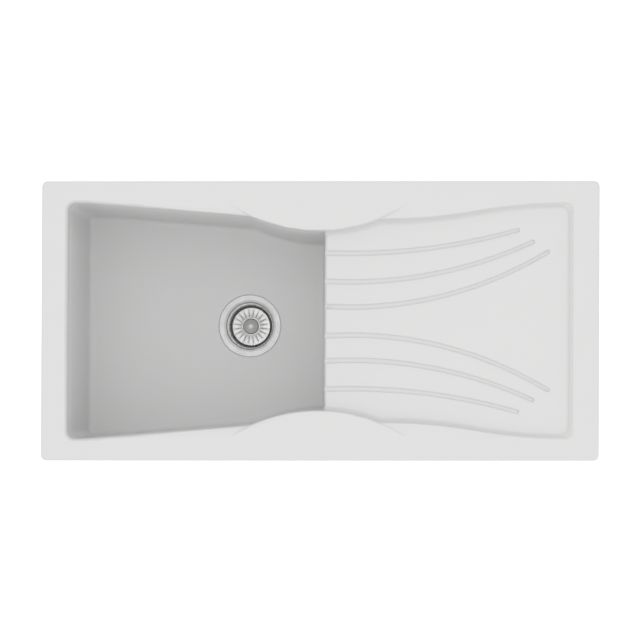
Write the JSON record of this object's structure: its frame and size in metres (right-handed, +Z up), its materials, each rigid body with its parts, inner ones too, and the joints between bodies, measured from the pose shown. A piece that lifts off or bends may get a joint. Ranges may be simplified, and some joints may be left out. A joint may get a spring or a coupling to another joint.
{
  "type": "kitchen sink with drainboard",
  "caption": "Inset kitchen sink with one deep bowl, two round-nosed ledges, a wave-edged drainboard with fanned drain channels, and a basket strainer waste with a lift-out plug.",
  "frame": {"origin": "middle of the outline, in the worktop plane under the rim", "axes": "+X towards the drainboard, +Y towards the wall behind the worktop, +Z up"},
  "size_m": [1, 0.5, 0.296],
  "materials": {
    "ceramic_white": "satin",
    "foam_grey": "matte",
    "rubber_black": "matte",
    "steel_brushed": "brushed",
    "steel_bright": "satin",
    "steel_galvanised": "satin",
    "chrome_polished": "polished",
    "plastic_white": "satin",
    "nylon_grey": "matte",
    "brass": "satin"
  },
  "bodies": {
    "sink": {"sink_body": "ceramic_white", "sealing_tape": "foam_grey", "flange_gasket": "rubber_black", "strainer_cup": "steel_brushed", "underside_gasket": "rubber_black", "waste_body": "plastic_white", "captive_nut": "brass", "clamp_screw": "steel_bright", "clip_screws": "steel_bright", "clip_plugs": "nylon_grey"},
    "plug_stem": {"basket_stem": "steel_bright", "valve_plate": "steel_brushed", "valve_seal": "rubber_black", "stem_o_ring": "rubber_black"},
    "plug_head": {"strainer_basket": "steel_brushed", "basket_seal": "rubber_black", "knob_collar": "steel_bright", "basket_knob": "chrome_polished"},
    "clip_1": {"clip_claw_1": "steel_galvanised"},
    "clip_2": {"clip_claw_2": "steel_galvanised"},
    "clip_3": {"clip_claw_3": "steel_galvanised"},
    "clip_4": {"clip_claw_4": "steel_galvanised"},
    "clip_5": {"clip_claw_5": "steel_galvanised"},
    "clip_6": {"clip_claw_6": "steel_galvanised"},
    "clip_7": {"clip_claw_7": "steel_galvanised"},
    "clip_8": {"clip_claw_8": "steel_galvanised"}
  },
  "joints": [
    {"name": "plug_lift", "type": "slide", "parent": "sink", "child": "plug_stem", "axis": [0, 0, 1], "range_m": [0, 0.26]},
    {"name": "plug_turn", "type": "hinge", "parent": "plug_stem", "child": "plug_head", "pos_m": [-0.144, 0, -0.2135], "axis": [0, 0, 1], "continuous": true},
    {"name": "clip_turn_1", "type": "hinge", "parent": "sink", "child": "clip_1", "pos_m": [-0.39, 0.2285, -0.0212], "axis": [0, 0, 1], "range_deg": [0, 90]},
    {"name": "clip_turn_2", "type": "hinge", "parent": "sink", "child": "clip_2", "pos_m": [-0.14, 0.2285, -0.0212], "axis": [0, 0, 1], "range_deg": [0, 90]},
    {"name": "clip_turn_3", "type": "hinge", "parent": "sink", "child": "clip_3", "pos_m": [0.14, 0.2285, -0.0212], "axis": [0, 0, 1], "range_deg": [0, 90]},
    {"name": "clip_turn_4", "type": "hinge", "parent": "sink", "child": "clip_4", "pos_m": [0.39, 0.2285, -0.0212], "axis": [0, 0, 1], "range_deg": [0, 90]},
    {"name": "clip_turn_5", "type": "hinge", "parent": "sink", "child": "clip_5", "pos_m": [-0.39, -0.2285, -0.0212], "axis": [0, 0, 1], "range_deg": [0, 90]},
    {"name": "clip_turn_6", "type": "hinge", "parent": "sink", "child": "clip_6", "pos_m": [-0.14, -0.2285, -0.0212], "axis": [0, 0, 1], "range_deg": [0, 90]},
    {"name": "clip_turn_7", "type": "hinge", "parent": "sink", "child": "clip_7", "pos_m": [0.14, -0.2285, -0.0212], "axis": [0, 0, 1], "range_deg": [0, 90]},
    {"name": "clip_turn_8", "type": "hinge", "parent": "sink", "child": "clip_8", "pos_m": [0.39, -0.2285, -0.0212], "axis": [0, 0, 1], "range_deg": [0, 90]}
  ]
}
